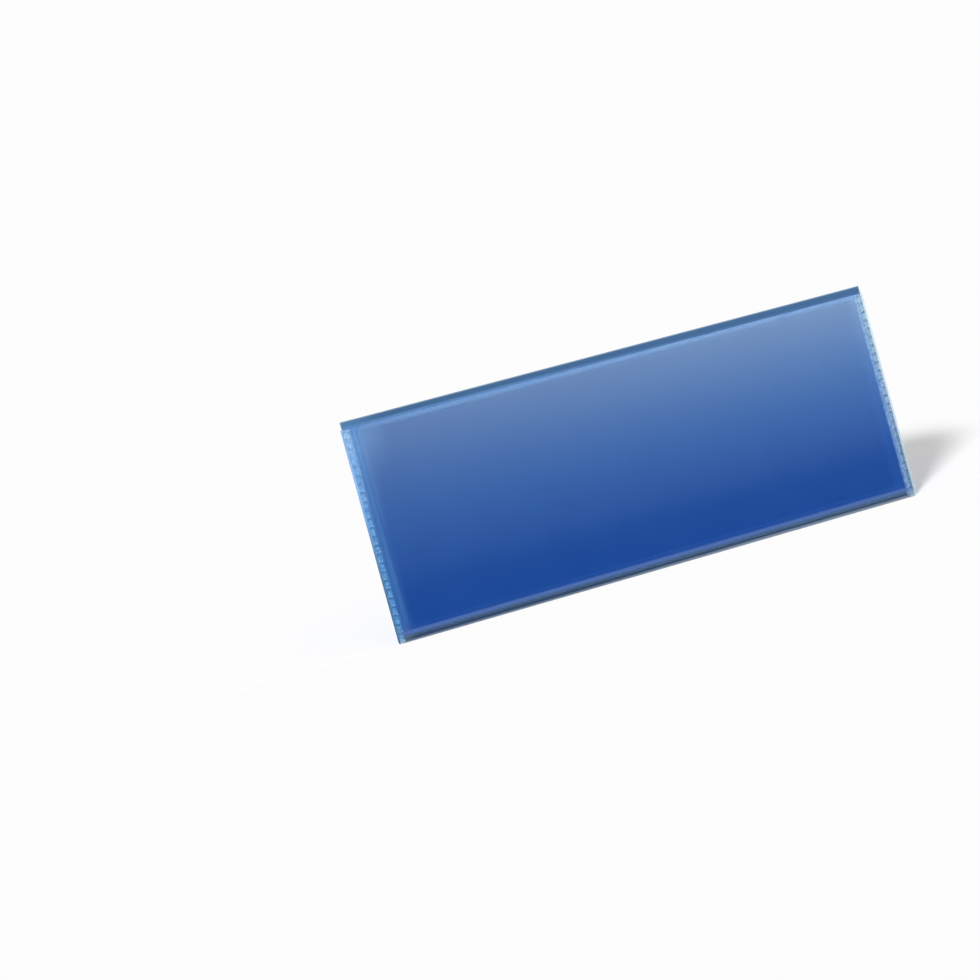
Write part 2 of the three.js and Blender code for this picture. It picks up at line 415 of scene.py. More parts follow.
strips, tapes = [], []
for level in ("upper", "lower"):
    strips.append(model_strip(
        f"{level}_magnet_rubber", f"{level}_magnet_strip", round_end_corner, rubber_edge))
    tapes.append(model_strip(
        f"{level}_tape_strip", f"{level}_adhesive_tape", round_end_corner - tape_inset, tape_edge))

# %% [markdown]
# ## Helpers for node materials
# All finishes are made of shader nodes. They read Object coordinates, which are in metres and stay with
# the piece. An owner is whatever holds a board of nodes: a material, the world or a Spot, which comes
# next. Most finishes here are blended by distance from an edge, so one helper fades a share over a band,
# from the distance where it starts to fall to the distance where it is gone.

# %% Helpers for materials
def new_material(name):
    """A material with an empty board of nodes and an output."""
    material = bpy.data.materials.new(name)
    material.use_nodes = True
    material.node_tree.nodes.clear()
    add_node(material, "ShaderNodeOutputMaterial")
    return material


def add_node(owner, kind, **settings):
    """Adds a node and sets its properties."""
    node = owner.node_tree.nodes.new(kind)
    for key, value in settings.items():
        setattr(node, key, value)
    return node


def feed(owner, socket, value):
    """Puts a number, a colour or another node's output into a socket."""
    if isinstance(value, bpy.types.NodeSocket):
        owner.node_tree.links.new(value, socket)
    elif hasattr(value, "__len__") and len(value) == 3 and len(socket.default_value) == 4:
        socket.default_value = (*value, 1)
    else:
        socket.default_value = value


def fill(owner, kind, sockets, values, **settings):
    """Adds a node, feeds the sockets with these numbers, and gives the node's outputs."""
    node = add_node(owner, kind, **settings)
    for number, value in zip(sockets, values):
        feed(owner, node.inputs[number], value)
    return node.outputs


def show(material, shader):
    """Joins a shader to the material's output, and gives the material back."""
    output = next(node for node in material.node_tree.nodes if node.type == "OUTPUT_MATERIAL")
    feed(material, output.inputs["Surface"], shader)
    return material


def calculate(owner, operation, *values):
    """A math node's output."""
    return fill(owner, "ShaderNodeMath", range(3), values, operation=operation)[0]


def product(owner, first, *others):
    """Multiplies values."""
    for other in others:
        first = calculate(owner, "MULTIPLY", first, other)
    return first


def largest(owner, first, *others):
    """The largest of some values."""
    for other in others:
        first = calculate(owner, "MAXIMUM", first, other)
    return first


def linear(owner, value, start, end, first=0.0, last=1.0, curve="LINEAR"):
    """Maps start..end to first..last, along a straight line unless another curve is named."""
    values = (value, start, end, first, last)
    return fill(owner, "ShaderNodeMapRange", range(5), values, interpolation_type=curve)[0]


def spread(owner, value, start, end, first=0.0, last=1.0):
    """Maps start..end to first..last along a smooth curve."""
    return linear(owner, value, start, end, first, last, curve="SMOOTHSTEP")


def fade(owner, value, band, share=1.0):
    """A share that is whole up to the band's start and falls softly to nothing at its end."""
    return spread(owner, value, *band, share, 0.0)


def blend_colours(owner, share, first, second, mode="MIX"):
    """Mixes two colours by a share."""
    values = (share, first, second)
    return fill(owner, "ShaderNodeMix", (0, 6, 7), values, data_type="RGBA", blend_type=mode)[2]


def blend_numbers(owner, share, first, second):
    """Mixes two numbers by a share."""
    return fill(owner, "ShaderNodeMix", (0, 2, 3), (share, first, second))[0]


def blend_shaders(owner, share, first, second):
    """Mixes two shaders by a share."""
    return fill(owner, "ShaderNodeMixShader", range(3), (share, first, second))[0]


def coordinates(owner, kind="Object"):
    """The coordinates, whole and as separate x, y and z."""
    place = add_node(owner, "ShaderNodeTexCoord").outputs[kind]
    parts = add_node(owner, "ShaderNodeSeparateXYZ")
    feed(owner, parts.inputs[0], place)
    return place, parts.outputs


def noise(owner, place, feature, detail=3.0, stretch=(1, 1, 1)):
    """A noise whose blobs are about feature metres across."""
    mapping = add_node(owner, "ShaderNodeMapping")
    feed(owner, mapping.inputs["Vector"], place)
    mapping.inputs["Scale"].default_value = stretch
    node = add_node(owner, "ShaderNodeTexNoise")
    feed(owner, node.inputs["Vector"], mapping.outputs[0])
    node.inputs["Scale"].default_value = 1 / feature
    node.inputs["Detail"].default_value = detail
    return node.outputs["Fac"]


def bump(owner, height, depth):
    """A normal that is tilted by a height between 0 and 1, depth metres high."""
    node = add_node(owner, "ShaderNodeBump")
    feed(owner, node.inputs["Height"], height)
    node.inputs["Distance"].default_value = depth
    return node.outputs["Normal"]


def plastic(owner, colour, roughness, specular=0.5, normal=None):
    """A plain surface of this colour."""
    shader = add_node(owner, "ShaderNodeBsdfPrincipled")
    feed(owner, shader.inputs["Base Color"], colour)
    feed(owner, shader.inputs["Roughness"], roughness)
    shader.inputs["Specular IOR Level"].default_value = specular
    if normal is not None:
        feed(owner, shader.inputs["Normal"], normal)
    return shader.outputs[0]


print("material helpers are ready")

# %% [markdown]
# ## Where a place lies on the pocket
# Both sheets change their finish by the same few distances: inwards from the side edge, up from the
# bottom, and down from the film's top edge. Many finishes also differ from side to side, because the
# light comes from the left, and from the lower part of a side to the upper one. A Spot holds these for
# one material.

# %% Measure a place on the pocket
side_change = (-60 * MM, 60 * MM)
height_change = (22 * MM, 70 * MM)


class Spot:
    """Where a place lies on the pocket, as node outputs in metres that one material's finishes share."""

    def __init__(self, material):
        self.node_tree = material.node_tree
        self.place, (self.x, self.y, self.z) = coordinates(self)
        self.inward = calculate(self, "SUBTRACT", half_width, calculate(self, "ABSOLUTE", self.x))
        self.upward = calculate(self, "SUBTRACT", self.z, bottom_z)
        self.below_top = calculate(self, "SUBTRACT", film_high.z, self.z)

    def across(self, at_left=0.0, at_right=1.0):
        """A number that changes softly from the left side to the right one."""
        return spread(self, self.x, *side_change, at_left, at_right)

    def by_side(self, left, right):
        """A finish that changes softly from the left side to the right one."""
        return blend_colours(self, self.across(), left, right)

    def by_height(self, low, high):
        """A finish that changes softly from the lower part of a side to the upper one."""
        return blend_colours(self, spread(self, self.upward, *height_change), low, high)


print("finishes change from side to side over mm:", [round(x / MM) for x in side_change])

# %% [markdown]
# ## Blue sheet
# The back is polypropylene sheet, dyed through, with the soft grain that a calender roll leaves. Its rim
# has been heated and pressed, so it is duller there. Painted shade makes it darkest along the cut edges,
# teal at the right and low at the left, with painted light on the upper left edge, and navy along the
# bottom. Above the film the bare lip is greyer, with painted light at its left end, a painted highlight
# just over the film's edge, and a painted highlight along its cut edges. The back face is painted
# lighter, as painted light from behind. One blue would look like paint, so the tone varies a little in
# soft clouds.

# %% Colour the bare and pressed parts of the sheet
blue_deep = (0.0070, 0.065, 0.331)
blue_light = (0.0095, 0.075, 0.359)
ramp_blue = (0.0110, 0.079, 0.364)
rim_blue = (0.0200, 0.100, 0.340)
# Painted shade: teal side edges and a navy bottom; painted light: a blue upper left edge
edge_teal_painted_shade = (0.0400, 0.110, 0.180)
edge_blue_painted_light = (0.0450, 0.150, 0.360)
bottom_navy_painted_shade = (0.0330, 0.068, 0.150)
# The lip's greyer blue, then its painted light, its painted highlights and its painted cut-edge highlight
lip_blue = (0.0500, 0.130, 0.285)
lip_left_painted_light = (0.0760, 0.203, 0.408)
lip_painted_highlight_left = (0.1230, 0.262, 0.550)
lip_painted_highlight_right = (0.0760, 0.172, 0.400)
pale_edge_painted_highlight = (0.2000, 0.310, 0.450)
# Painted light on the back face, which is painted lighter than the front
rear_blue_painted_light = (0.0340, 0.122, 0.460)
rear_painted_light_share = 0.75

# Bands in which a finish fades, by the distance from the edge that it belongs to
ramp_band = (7.0 * MM, 9.0 * MM)
rim_band = (2.6 * MM, 3.2 * MM)
edge_band = (1.0 * MM, 1.4 * MM)
navy_shade_band = (2.2 * MM, 3.2 * MM)
lip_end_band = (3 * MM, 20 * MM)
pale_edge_band = (0.25 * MM, 0.60 * MM)
lip_starts = (-0.3 * MM, 0.5 * MM)
# Where the painted highlight over the film's edge starts and ends
highlight_starts = 0.3 * MM
highlight_ends_left = 1.5 * MM
highlight_ends_right = 1.1 * MM


def sheet_colour(spot, clouds):
    """The sheet's own blue with the tones of its ramp and its pressed rim, and painted shade and painted
    light along its cut edges and its bottom.
    """
    colour = blend_colours(spot, clouds, blue_deep, blue_light)
    # Painted light and shade on the side edges, by side and by height
    side_edge_light_and_shade = spot.by_side(spot.by_height(edge_teal_painted_shade, edge_blue_painted_light), edge_teal_painted_shade)
    for distance, band, tone in (
            (spot.inward, ramp_band, ramp_blue), (spot.inward, rim_band, rim_blue),
            (spot.upward, navy_shade_band, bottom_navy_painted_shade), (spot.inward, edge_band, side_edge_light_and_shade)):
        colour = blend_colours(spot, fade(spot, distance, band), colour, tone)
    return colour


def lip_colour(spot, above_film):
    """The bare lip, with painted light at its left end, a painted highlight just over the film, and a
    painted highlight along its cut edges.
    """
    by_left_end = product(spot, fade(spot, spot.inward, lip_end_band), spot.across(1.0, 0.0))
    lip = blend_colours(spot, by_left_end, lip_blue, lip_left_painted_light)
    highlight_ends = spot.across(highlight_ends_left, highlight_ends_right)
    highlight_share = fade(spot, above_film, (highlight_starts, highlight_ends))
    lip = blend_colours(spot, highlight_share, lip, spot.by_side(lip_painted_highlight_left, lip_painted_highlight_right))
    # Painted highlight along the lip's cut edges
    from_cut = calculate(
        spot, "MINIMUM", calculate(spot, "SUBTRACT", back_high.z, spot.z),
        calculate(spot, "SUBTRACT", spot.inward, film_overhang))
    return blend_colours(spot, fade(spot, from_cut, pale_edge_band), lip, pale_edge_painted_highlight)


def blue_plastic():
    """The dyed sheet with its grain, its pressed rim and its lip, and a back face painted lighter as
    painted light from behind.
    """
    material = new_material("blue_polypropylene")
    spot = Spot(material)
    clouds = noise(material, spot.place, feature=14 * MM)
    above_film = calculate(material, "SUBTRACT", spot.z, film_high.z)
    on_lip = spread(material, above_film, *lip_starts)
    colour = blend_colours(material, on_lip, sheet_colour(spot, clouds), lip_colour(spot, above_film))
    # The back face is painted lighter: painted light from behind
    behind = spread(material, spot.y, back_middle_y, back_rim_y, 0.0, rear_painted_light_share)
    grain = noise(material, spot.place, feature=0.45 * MM, detail=4)
    return show(material, plastic(
        material, blend_colours(material, behind, colour, rear_blue_painted_light),
        roughness=spread(material, clouds, 0.2, 0.8, 0.27, 0.35), specular=0.1,
        normal=bump(material, grain, depth=0.002 * MM)))


print("blue sheet finishes:", blue_deep, rim_blue, bottom_navy_painted_shade)

# %% [markdown]
# ## Dimples and cut edges
# The dimples are pressed thin, so their blue is paler, and painted light that shines through them makes
# them paler still. A knife-cut edge is rough beside a rolled face, and the knife leaves fine drag lines
# along the cut, so it gets a stretched noise. Both sheets are cut in the same way, so one material with
# another colour does for each.

# %% Finish the dimples and the cut edges
# Paler blue of the thin plastic, and painted light shining through it
dimple_pale = (0.24, 0.46, 0.80)
dimple_palest = (0.38, 0.66, 0.95)
drag_line_shade = 0.75


def pale_weld():
    """The thin bottom of a pressed dimple, paler from its thinness and from painted light shining
    through.
    """
    material = new_material("pressed_weld")
    place, _ = coordinates(material)
    clouds = noise(material, place, feature=0.5 * MM)
    return show(material, plastic(
        material, blend_colours(material, clouds, dimple_pale, dimple_palest),
        roughness=spread(material, clouds, 0.3, 0.7, 0.2, 0.32)))


def cut_edge(name, colour):
    """A knife-cut edge, slightly rough, with fine drag lines."""
    material = new_material(name)
    place, _ = coordinates(material)
    lines = noise(material, place, feature=0.25 * MM, stretch=(1, 0.1, 1))
    darker = tuple(drag_line_shade * part for part in colour)
    return show(material, plastic(
        material, blend_colours(material, lines, darker, colour),
        roughness=spread(material, lines, 0.3, 0.7, 0.45, 0.6),
        normal=bump(material, lines, depth=0.01 * MM)))


print("dimples go from", dimple_pale, "to", dimple_palest)

# %% [markdown]
# ## How milky the film is
# Clear plastic turns milky where it is pressed or drawn. The film is milky in streaks along the seam and
# in a thin line along the seal. The milk also carries painted light: the seam grows milkier upwards at
# the left and has a light inner line at the right, the left ramp has a painted reflection, the upper left
# corner painted light, and the cut edges and lower corners painted highlights. A band below is a pair of
# distances, between which a finish fades or grows. A pair of shares says how milky the film is at the two
# ends of such a band, or at the left and the right side.

# %% Work out how milky each part is
# The seam's growth upwards at the left and its light inner line at the right are painted light
left_seam_band = (3.0 * MM, 4.2 * MM)
right_seam_band = (3.2 * MM, 4.4 * MM)
seam_grows_up = (50 * MM, 66 * MM)
seam_grows_in = (1.6 * MM, 2.8 * MM)
left_seam_shares = (0.09, 0.24)
right_seam_shares = (0.08, 0.27)
streak_noise = (0.35, 0.65)
streak_factors = (0.6, 1.4)
# Painted reflection on the left ramp
ramp_starts = 4.2 * MM
ramp_widens = (36 * MM, 66 * MM)
ramp_ends = (8.0 * MM, 10.5 * MM)
ramp_grows_up = (44 * MM, 66 * MM)
ramp_shares = (0.062, 0.085)
# Painted light towards the upper left corner
corner_down = (3 * MM, 23 * MM)
corner_inward = (8 * MM, 20 * MM)
corner_share = 0.09
seal_line = 3.5 * MM
seal_band = (0.4 * MM, 1.2 * MM)
seal_share = 0.11
# Painted highlights along the top and bottom cut edges, and painted glints at the lower corners
top_edge_band = (0.8 * MM, 2.6 * MM)
top_edge_share = 0.175
lower_corner_band = (1.8 * MM, 3.8 * MM)
lower_corner_share = 0.6
bottom_edge_starts = 0.4 * MM
bottom_edge_ends = (1.0 * MM, 1.5 * MM)
bottom_edge_shares = (0.24, 0.32)


def seam_haze_and_painted_light(spot):
    """The seam between its pads, milky in streaks. Painted light makes it milkier upwards at the left,
    and at the right its inner edge is its lightest line.
    """
    left = product(
        spot, fade(spot, spot.inward, left_seam_band),
        spread(spot, spot.upward, *seam_grows_up, *left_seam_shares))
    right = product(
        spot, fade(spot, spot.inward, right_seam_band),
        spread(spot, spot.inward, *seam_grows_in, *right_seam_shares))
    streaks = noise(spot, spot.place, feature=1.6 * MM)
    factors = spread(spot, streaks, *streak_noise, *streak_factors)
    return product(spot, spot.by_side(left, right), factors)


def ramp_painted_reflection(spot):
    """Painted reflection on the left ramp, over a wider band higher up."""
    ends = spread(spot, spot.upward, *ramp_widens, *ramp_ends)
    return product(
        spot, fade(spot, spot.inward, (ramp_starts, ends)),
        spread(spot, spot.upward, *ramp_grows_up, *ramp_shares), spot.across(1.0, 0.0))


def upper_left_painted_light(spot):
    """Painted light: a soft pale area towards the upper left corner."""
    return product(
        spot, fade(spot, spot.below_top, corner_down, corner_share),
        fade(spot, spot.inward, corner_inward), spot.across(1.0, 0.0))


def line_haze_and_painted_highlights(spot):
    """The thin lines: the milky bar seal, and painted highlights along the cut edges at the top and the
    bottom and at the lower corners.
    """
    from_seal = calculate(spot, "ABSOLUTE", calculate(spot, "SUBTRACT", spot.upward, seal_line))
    from_corner = calculate(spot, "SQRT", calculate(
        spot, "ADD", product(spot, spot.inward, spot.inward),
        product(spot, spot.upward, spot.upward)))
    bottom_edge = product(
        spot, spot.across(*bottom_edge_shares),
        fade(spot, spot.upward, (bottom_edge_starts, spot.across(*bottom_edge_ends))))
    return largest(
        spot, fade(spot, from_seal, seal_band, seal_share),
        fade(spot, spot.below_top, top_edge_band, top_edge_share),
        fade(spot, from_corner, lower_corner_band, lower_corner_share), bottom_edge)


print("the seam is milky by", left_seam_shares, "at the left and", right_seam_shares, "at the right")

# %% [markdown]
# ## The milk's colour
# The milk's colour is painted light. It is blue at the left, where it faces the light, palest in the
# upper left corner, and greyer at the right and along the bottom. Where the film sticks out past the blue
# sheet nothing blue lies behind it, so it is most milky there; its colour there is a painted reflection
# at the left that brightens upwards, and painted light at the right. A film finish is the pair of both:
# how milky it is at a spot, and in which colour.

# %% Colour the milk
# The milk's colours are painted light, and the left outline's a painted reflection
left_milk_low_painted_light = (0.20, 0.54, 0.96)
left_milk_high_painted_light = (0.27, 0.58, 0.98)
corner_milk_painted_light = (0.38, 0.64, 0.98)
right_milk_edge_painted_light = (0.50, 0.66, 0.79)
right_milk_inner_painted_light = (0.37, 0.60, 0.90)
bottom_milk_edge_painted_light = (0.42, 0.50, 0.60)
bottom_milk_inner_painted_light = (0.38, 0.56, 0.84)
top_milk_painted_highlight = (0.21, 0.50, 0.97)
left_outline_low_painted_reflection = (0.072, 0.185, 0.374)
left_outline_high_painted_reflection = (0.27, 0.50, 0.92)
left_outline_top_painted_reflection = (0.22, 0.40, 0.73)
right_outline_painted_light = (0.50, 0.67, 0.82)

corner_milk_down = (3 * MM, 16 * MM)
corner_milk_inward = (2.8 * MM, 4.0 * MM)
right_milk_band = (1.6 * MM, 2.6 * MM)
bottom_edge_milk_band = (1.0 * MM, 2.4 * MM)
bottom_milk_band = (5 * MM, 7 * MM)
top_milk_down = (2.6 * MM, 3.4 * MM)
top_milk_starts_in = (3.0 * MM, 5.0 * MM)
outline_top_band = (4 * MM, 23 * MM)
past_blue_band = (film_overhang, film_overhang + 0.5 * MM)
# The left outline is much milkier, for its painted reflection
outline_shares = (0.97, 0.46)
clear_haze = 0.002
patch_noise = (0.3, 0.7)
patch_shares = (0.30, 0.64)
left_pad_band = (2.0 * MM, 2.8 * MM)
left_pad_shares = (0.95, 0.6)
right_pad_band = (1.5 * MM, 2.3 * MM)
right_pad_grows_up = (25 * MM, 45 * MM)
right_pad_outer_shares = (0.42, 0.95)
right_pad_inner_share = (0.9, 0.9, 0.9)


def side_milk_painted_light(spot):
    """Painted light in the milk at the sides: palest in the upper left corner, and greyest by the right
    edge.
    """
    in_corner = product(
        spot, fade(spot, spot.below_top, corner_milk_down),
        fade(spot, spot.inward, corner_milk_inward))
    left = blend_colours(
        spot, in_corner, spot.by_height(left_milk_low_painted_light, left_milk_high_painted_light), corner_milk_painted_light)
    inner = spread(spot, spot.inward, *right_milk_band)
    return spot.by_side(left, blend_colours(spot, inner, right_milk_edge_painted_light, right_milk_inner_painted_light))


def film_milk_painted_light(spot, past_blue):
    """Painted light in the milk all over the film: by its sides, its bottom and its top edge, and past
    the blue sheet.
    """
    bottom = blend_colours(
        spot, spread(spot, spot.upward, *bottom_edge_milk_band), bottom_milk_edge_painted_light,
        bottom_milk_inner_painted_light)
    milk = blend_colours(
        spot, fade(spot, spot.upward, bottom_milk_band), side_milk_painted_light(spot), bottom)
    on_top_edge = product(
        spot, fade(spot, spot.below_top, top_milk_down),
        spread(spot, spot.inward, *top_milk_starts_in))
    milk = blend_colours(spot, on_top_edge, milk, top_milk_painted_highlight)
    left_outline = blend_colours(
        spot, fade(spot, spot.below_top, outline_top_band),
        spot.by_height(left_outline_low_painted_reflection, left_outline_high_painted_reflection), left_outline_top_painted_reflection)
    return blend_colours(spot, past_blue, milk, spot.by_side(left_outline, right_outline_painted_light))


def film_haze_and_painted_light(spot):
    """How milky the plain film is, with its painted light, and its milk's colour, which is painted light.
    """
    past_blue = fade(spot, spot.inward, past_blue_band)
    outline = product(spot, past_blue, spot.across(*outline_shares))
    sides = calculate(
        spot, "ADD", largest(spot, seam_haze_and_painted_light(spot), ramp_painted_reflection(spot)), upper_left_painted_light(spot))
    return largest(spot, sides, outline, line_haze_and_painted_highlights(spot), clear_haze), film_milk_painted_light(spot, past_blue)


def weld_haze_and_painted_light(spot):
    """How milky a pressed pad is, in patches, and its milk's colour, which is painted light. Painted
    light makes a pad milkiest on its side that faces the light: at the left along its outer side, and at
    the right along its inner one, while at the right its outer side grows milkier upwards."""
    patches = noise(spot, spot.place, feature=0.8 * MM)
    amount = spread(spot, patches, *patch_noise, *patch_shares)
    # Painted light: each pad is milkiest on the side that faces the light
    left = spread(spot, spot.inward, *left_pad_band, *left_pad_shares)
    outer = spread(spot, spot.upward, *right_pad_grows_up, *right_pad_outer_shares)
    inner_part = spread(spot, spot.inward, *right_pad_band)
    right = blend_colours(spot, inner_part, outer, right_pad_inner_share)
    pad = product(spot, amount, spot.by_side(left, right))
    return calculate(spot, "ADD", pad, upper_left_painted_light(spot)), side_milk_painted_light(spot)


print("milky plastic at the left and right:", left_milk_low_painted_light, right_milk_inner_painted_light)

# %% [markdown]
# ## Clear film
# The film is hard clear plastic. Most of what reaches the eye passes straight through it, so the main
# shader is Transparent, with milky plastic mixed in. A mirror-like layer lies on top. It reflects 4 %
# head on and more at a slant, which the Facing output gives on both sides of the film. The Fresnel output
# doesn't do here, because it treats the film's inner face as glass seen from inside and turns it into a
# mirror.

# %% Mix the clear film
film_tint = (0.975, 0.985, 0.99)
head_on_mirror = 0.04
slant_power = 5.0
mirror_roughness = 0.09


def clear_film(name, haze):
    """Clear plastic. haze gives how milky it is at a spot, and the milk's colour, which carries painted
    light.
    """
    material = new_material(name)
    spot = Spot(material)
    clear = add_node(material, "ShaderNodeBsdfTransparent")
    feed(material, clear.inputs["Color"], film_tint)
    haze_share, milk = haze(spot)
    milky = plastic(material, milk, roughness=0.3, specular=0.1)
    body = blend_shaders(material, haze_share, clear.outputs[0], milky)

    facing = add_node(material, "ShaderNodeLayerWeight").outputs["Facing"]
    slant = calculate(material, "POWER", facing, slant_power)
    mirror_share = calculate(material, "MULTIPLY_ADD", slant, 1 - head_on_mirror, head_on_mirror)
    waves = noise(material, spot.place, feature=40 * MM, detail=1)
    mirror = add_node(material, "ShaderNodeBsdfGlossy")
    mirror.inputs["Roughness"].default_value = mirror_roughness
    feed(material, mirror.inputs["Normal"], bump(material, waves, depth=0.03 * MM))
    return show(material, blend_shaders(material, mirror_share, body, mirror.outputs[0]))


print("the film mirrors head on by", head_on_mirror)

# %% [markdown]
# ## Magnet rubber and tape
# The strips are bonded magnet: rubber that is more than half iron powder, dark brown and matt, with a
# fine grain and faint lines along the strip, from the nozzle that it was extruded through. The tape is a
# pale grey foam.

# %% Rubber and tape
rubber_dark = (0.020, 0.0105, 0.0100)
rubber_brown = (0.026, 0.0145, 0.0135)
rubber_speck = (0.05, 0.038, 0.036)
tape_grey = (0.30, 0.31, 0.40)
tape_pale = (0.46, 0.47, 0.56)
line_share = 0.6


def magnet_rubber():
    """Dark, matt, grainy rubber with faint lines along its length."""
    material = new_material("magnet_rubber")
    place, _ = coordinates(material)
    lines = noise(material, place, feature=0.5 * MM, stretch=(0.02, 1, 1))
    grain = noise(material, place, feature=0.12 * MM, detail=2)
    patches = noise(material, place, feature=6 * MM)
    colour = blend_colours(material, patches, rubber_dark, rubber_brown)
    specks = spread(material, grain, 0.62, 0.74, 0.0, 0.35)
    height = calculate(
        material, "MULTIPLY_ADD", lines, line_share, product(material, grain, 1 - line_share))
    return show(material, plastic(
        material, blend_colours(material, specks, colour, rubber_speck),
        roughness=spread(material, patches, 0.2, 0.8, 0.62, 0.74), specular=0.15,
        normal=bump(material, height, depth=0.02 * MM)))


def foam_tape():
    """Pale grey tape with tiny cells."""
    material = new_material("foam_tape")
    place, _ = coordinates(material)
    cells = noise(material, place, feature=0.15 * MM)
    return show(material, plastic(
        material, blend_colours(material, cells, tape_grey, tape_pale), roughness=0.7,
        normal=bump(material, cells, depth=0.02 * MM)))


rubber = magnet_rubber()
tape = foam_tape()
for strip in strips:
    strip.data.materials.append(rubber)
for band in tapes:
    band.data.materials.append(tape)
print("strips are", rubber.name, "and tapes are", tape.name)

# %% [markdown]
# ## Giving each sheet its finishes
# A sheet has three finishes: its own plastic, the pressed marks and the cut edges. Each one is a material
# slot, and the faces are picked by place and by normal, before the edges are rounded, so that a rounding
# takes the finish beside it.

# %% Assign the finishes and round the edges
sheet_edge = 0.05 * MM
deepest_mark = 0.25 * MM
mark_half_width = 1 * MM
mark_half_length = 1.5 * MM
cut_slope = 0.5
blue_cut = (0.05, 0.13, 0.27)
film_cut = (0.45, 0.66, 0.86)


def paint_faces(piece, slot_index, test):
    """Gives the faces that pass the test the material of this slot."""
    make_active(piece)
    bpy.ops.object.mode_set(mode="EDIT")
    count = choose(piece, "FACE", test)
    piece.active_material_index = slot_index
    bpy.ops.object.material_slot_assign()
    bpy.ops.object.mode_set(mode="OBJECT")
    return count


def finish_sheet(sheet, rim_y, facing, plain, mark, edge, node):
    """Paints a sheet's marks and cut edges, rounds its edges and puts it on the frame."""
    for material in (plain, mark, edge):
        sheet.data.materials.append(material)

    def in_mark(face):
        centre = face.calc_center_median()
        out, up = offset_from_weld(centre)
        is_sunk = touching < (rim_y - centre.y) * facing < deepest_mark
        is_near = abs(out) < mark_half_width and abs(up) < mark_half_length
        return is_sunk and is_near and face.normal.y * facing > 0

    marks = paint_faces(sheet, 1, in_mark)
    edges = paint_faces(sheet, 2, lambda face: abs(face.normal.y) < cut_slope)
    soften_edges(sheet, sheet_edge)
    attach(sheet, "root")
    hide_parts(node)
    print(marks, "faces in marks and", edges, "on cut edges")
    report_piece(sheet)


finish_sheet(
    back_sheet, back_rim_y, 1, blue_plastic(), pale_weld(), cut_edge("blue_cut_edge", blue_cut),
    "back_sheet")
finish_sheet(
    front_film, film_rim_y, -1, clear_film("clear_film", film_haze_and_painted_light), clear_film("welded_film", weld_haze_and_painted_light),
    cut_edge("film_cut_edge", film_cut), "front_film")
front_film.visible_shadow = False

# %% [markdown]
# ## The camera
# The camera stands where the photograph's edges put it: 0.63 m in front, to the left and almost level
# with the middle, turned about its own axis, so that the pocket leans in the picture.

# %% Set the camera
camera_place = Vector((-162.2, -628.7, -24.1)) * MM
camera_aim = Vector((0.1604, 0.987, -0.0046))
camera_up = Vector((0.2619, -0.0381, 0.9643))
focal_length = 58.78

level_turn = camera_aim.to_track_quat("-Z", "Y")
roll = (level_turn @ Vector((0, 1, 0))).angle(camera_up)
camera_data = bpy.data.cameras.new("camera")
camera_data.lens = focal_length
camera = bpy.data.objects.new("camera", camera_data)
bpy.context.scene.collection.objects.link(camera)
camera.location = camera_place
camera.rotation_mode = "QUATERNION"
camera.rotation_quaternion = level_turn @ Quaternion((0, 0, 1), -roll)
bpy.context.scene.camera = camera
print("camera roll in degrees:", round(math.degrees(roll), 2))

# %% [markdown]
# ## Floor
# The pocket stands on a pale sheet of paper that rises gently behind it. The paper starts under the
# pocket, so that the light from behind throws no shadow that the camera sees. It glows a little for the
# camera, so that it is white as the sky is, and keeps its shadow. Towards its ends it is all glow, so
# that no end shows.

# %% Lay the floor
floor_slope = math.radians(8)
floor_width = 424 * MM
floor_depth = 200 * MM
side_fade = 47 * MM
rear_fade = 40 * MM
under_pocket = 0.45 * MM
floor_start = Vector((0, film_low.y + under_pocket, bottom_z))
paper_shade = (0.98, 0.98, 0.98)
paper_glow = 0.04
white_level = 0.98


def camera_glow(material, level):
    """A glow of this level that only the camera sees."""
    seen = add_node(material, "ShaderNodeLightPath").outputs["Is Camera Ray"]
    glow = add_node(material, "ShaderNodeEmission")
    feed(material, glow.inputs["Strength"], product(material, seen, level))
    return glow.outputs[0]


def floor_paper():
    """White paper, helped to full white for the camera, and all glow towards its ends."""
    material = new_material("floor_paper")
    _, (x, y, _) = coordinates(material)
    paper = add_node(material, "ShaderNodeBsdfDiffuse")
    feed(material, paper.inputs["Color"], paper_shade)
    lit_paper = add_node(material, "ShaderNodeAddShader")
    feed(material, lit_paper.inputs[0], paper.outputs[0])
    feed(material, lit_paper.inputs[1], camera_glow(material, paper_glow))
    from_middle = calculate(material, "ABSOLUTE", x)
    side_end = spread(material, from_middle, floor_width / 2 - side_fade, floor_width / 2)
    rear_end = spread(material, y, floor_depth - rear_fade, floor_depth)
    return show(material, blend_shaders(
        material, largest(material, side_end, rear_end), lit_paper.outputs[0],
        camera_glow(material, white_level)))


# The front edge of a square of size 1 goes to the origin, so that the floor turns about that edge
bpy.ops.mesh.primitive_plane_add(size=1, location=(0, 0.5, 0))
floor = bpy.context.object
floor.name = "floor"
bpy.ops.object.transform_apply(location=True, rotation=False, scale=False)
floor.scale = (floor_width, floor_depth, 1)
bpy.ops.object.transform_apply(location=False, rotation=False, scale=True)
floor.rotation_euler = (floor_slope, 0, 0)
floor.location = floor_start
floor.data.materials.append(floor_paper())
floor.visible_glossy = False
print("floor slope in degrees:", round(math.degrees(floor_slope), 1))

# %% [markdown]
# ## Lights
# One soft main light comes from the upper left in front and throws the shadow to the right. A weaker and
# much softer one lights the back, and the sky fills in. Both are distant lights, so that a piece is lit
# the same wherever it stands.

